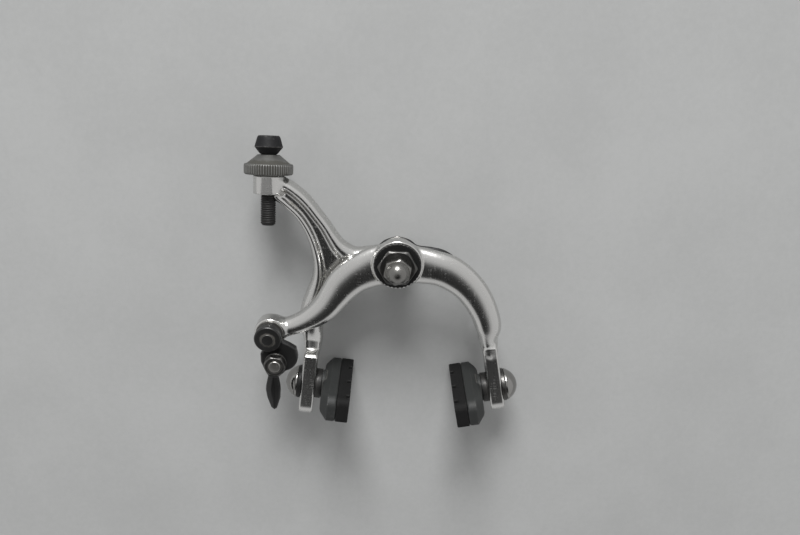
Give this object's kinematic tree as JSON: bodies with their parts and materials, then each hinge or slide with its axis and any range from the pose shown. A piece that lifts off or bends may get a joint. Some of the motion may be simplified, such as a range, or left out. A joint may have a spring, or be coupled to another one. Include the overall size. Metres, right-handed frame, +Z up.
{
  "type": "side pull caliper brake",
  "caption": "Single pivot side pull rim brake caliper in polished alloy with a knurled cable adjuster, a black release lever and grooved brake shoes.",
  "frame": {"origin": "on the pivot bolt's axis at the face of the seat washer that meets the fork", "axes": "+X to the right seen from the front, +Y to the back along the bolt's tail, +Z up"},
  "size_m": [0.1088, 0.0423, 0.1199],
  "materials": {
    "polished_aluminium": "polished, hazed and scratched",
    "black_plastic": "matte, speckled",
    "black_steel": "satin black, worn edges",
    "plated_steel": "plated, dulled",
    "chrome": "bright, slightly dirty",
    "grey_alloy": "dull grey, aged",
    "brass": "satin",
    "grey_holder": "semi matte dark grey",
    "black_rubber": "matte"
  },
  "bodies": {
    "mount": {"pivot_bolt": "plated_steel", "seat_washer": "plated_steel", "spring_block": "black_steel", "return_spring": "black_steel", "thrust_washer": "plated_steel", "bearing_washer": "brass", "dust_washer": "black_steel", "adjusting_nut": "plated_steel", "dome_nut": "chrome"},
    "rear": {"rear_arm": "polished_aluminium", "left_spring_slider": "black_plastic"},
    "front": {"front_arm": "polished_aluminium", "right_spring_slider": "black_plastic", "release_screw": "black_steel", "detent_washer": "plated_steel"},
    "barrel": {"adjuster_barrel": "black_steel", "adjuster_cap": "black_plastic"},
    "knurled": {"adjuster_nut": "grey_alloy"},
    "release": {"release_lever": "black_steel", "anchor_bolt": "plated_steel", "anchor_washer": "plated_steel", "anchor_nut": "plated_steel"},
    "left_stud": {"left_convex_washer": "plated_steel", "left_concave_washer": "plated_steel", "left_outer_washer": "black_steel", "left_cap_nut": "chrome"},
    "left_shoe": {"left_shoe_holder": "grey_holder", "left_shoe_rubber": "black_rubber", "left_shoe_stud": "plated_steel"},
    "right_stud": {"right_convex_washer": "plated_steel", "right_concave_washer": "plated_steel", "right_outer_washer": "black_steel", "right_cap_nut": "chrome"},
    "right_shoe": {"right_shoe_holder": "grey_holder", "right_shoe_rubber": "black_rubber", "right_shoe_stud": "plated_steel"}
  },
  "joints": [
    {"name": "front_arm_pivot", "type": "hinge", "parent": "mount", "child": "front", "pos_m": [0, 0, 0], "axis": [0, 1, 0], "range_deg": [0, 11], "stiffness_Nm_per_rad": 2.2, "springref_deg": -20.05, "deforming": ["return_spring"]},
    {"name": "rear_arm_pivot", "type": "hinge", "parent": "mount", "child": "rear", "pos_m": [0, 0, 0], "axis": [0, -1, 0], "range_deg": [0, 11], "stiffness_Nm_per_rad": 2.2, "springref_deg": -20.05},
    {"name": "adjuster_nut_turn", "type": "hinge", "parent": "rear", "child": "knurled", "pos_m": [-0.0496, -0.0092, 0.0309], "axis": [0.0546, 0.2079, 0.9766], "range_deg": [0, 2900]},
    {"name": "adjuster_barrel_slide", "type": "slide", "parent": "rear", "child": "barrel", "axis": [0.0546, 0.2079, 0.9766], "range_m": [0, 0.008]},
    {"name": "release_lever_turn", "type": "hinge", "parent": "front", "child": "release", "pos_m": [-0.0524, -0.0193, -0.0286], "axis": [0, 1, 0], "range_deg": [0, 75]},
    {"name": "left_shoe_height", "type": "slide", "parent": "rear", "child": "left_stud", "axis": [0.1495, 0, 0.9888], "range_m": [-0.0058, 0.0034]},
    {"name": "left_shoe_tilt", "type": "hinge", "parent": "left_stud", "child": "left_shoe", "pos_m": [-0.03881, -0.0127, -0.05534], "axis": [0.9888, 0, -0.1495], "range_deg": [-12, 12]},
    {"name": "right_shoe_height", "type": "slide", "parent": "front", "child": "right_stud", "axis": [-0.1495, 0, 0.9888], "range_m": [-0.0026, 0.0066]},
    {"name": "right_shoe_tilt", "type": "hinge", "parent": "right_stud", "child": "right_shoe", "pos_m": [0.0405, -0.0127, -0.0586], "axis": [-0.9888, 0, -0.1495], "range_deg": [-12, 12]}
  ],
  "couplings": [
    {"joint": "adjuster_nut_turn", "follows": "adjuster_barrel_slide", "rad_per_m": 6283.2}
  ]
}
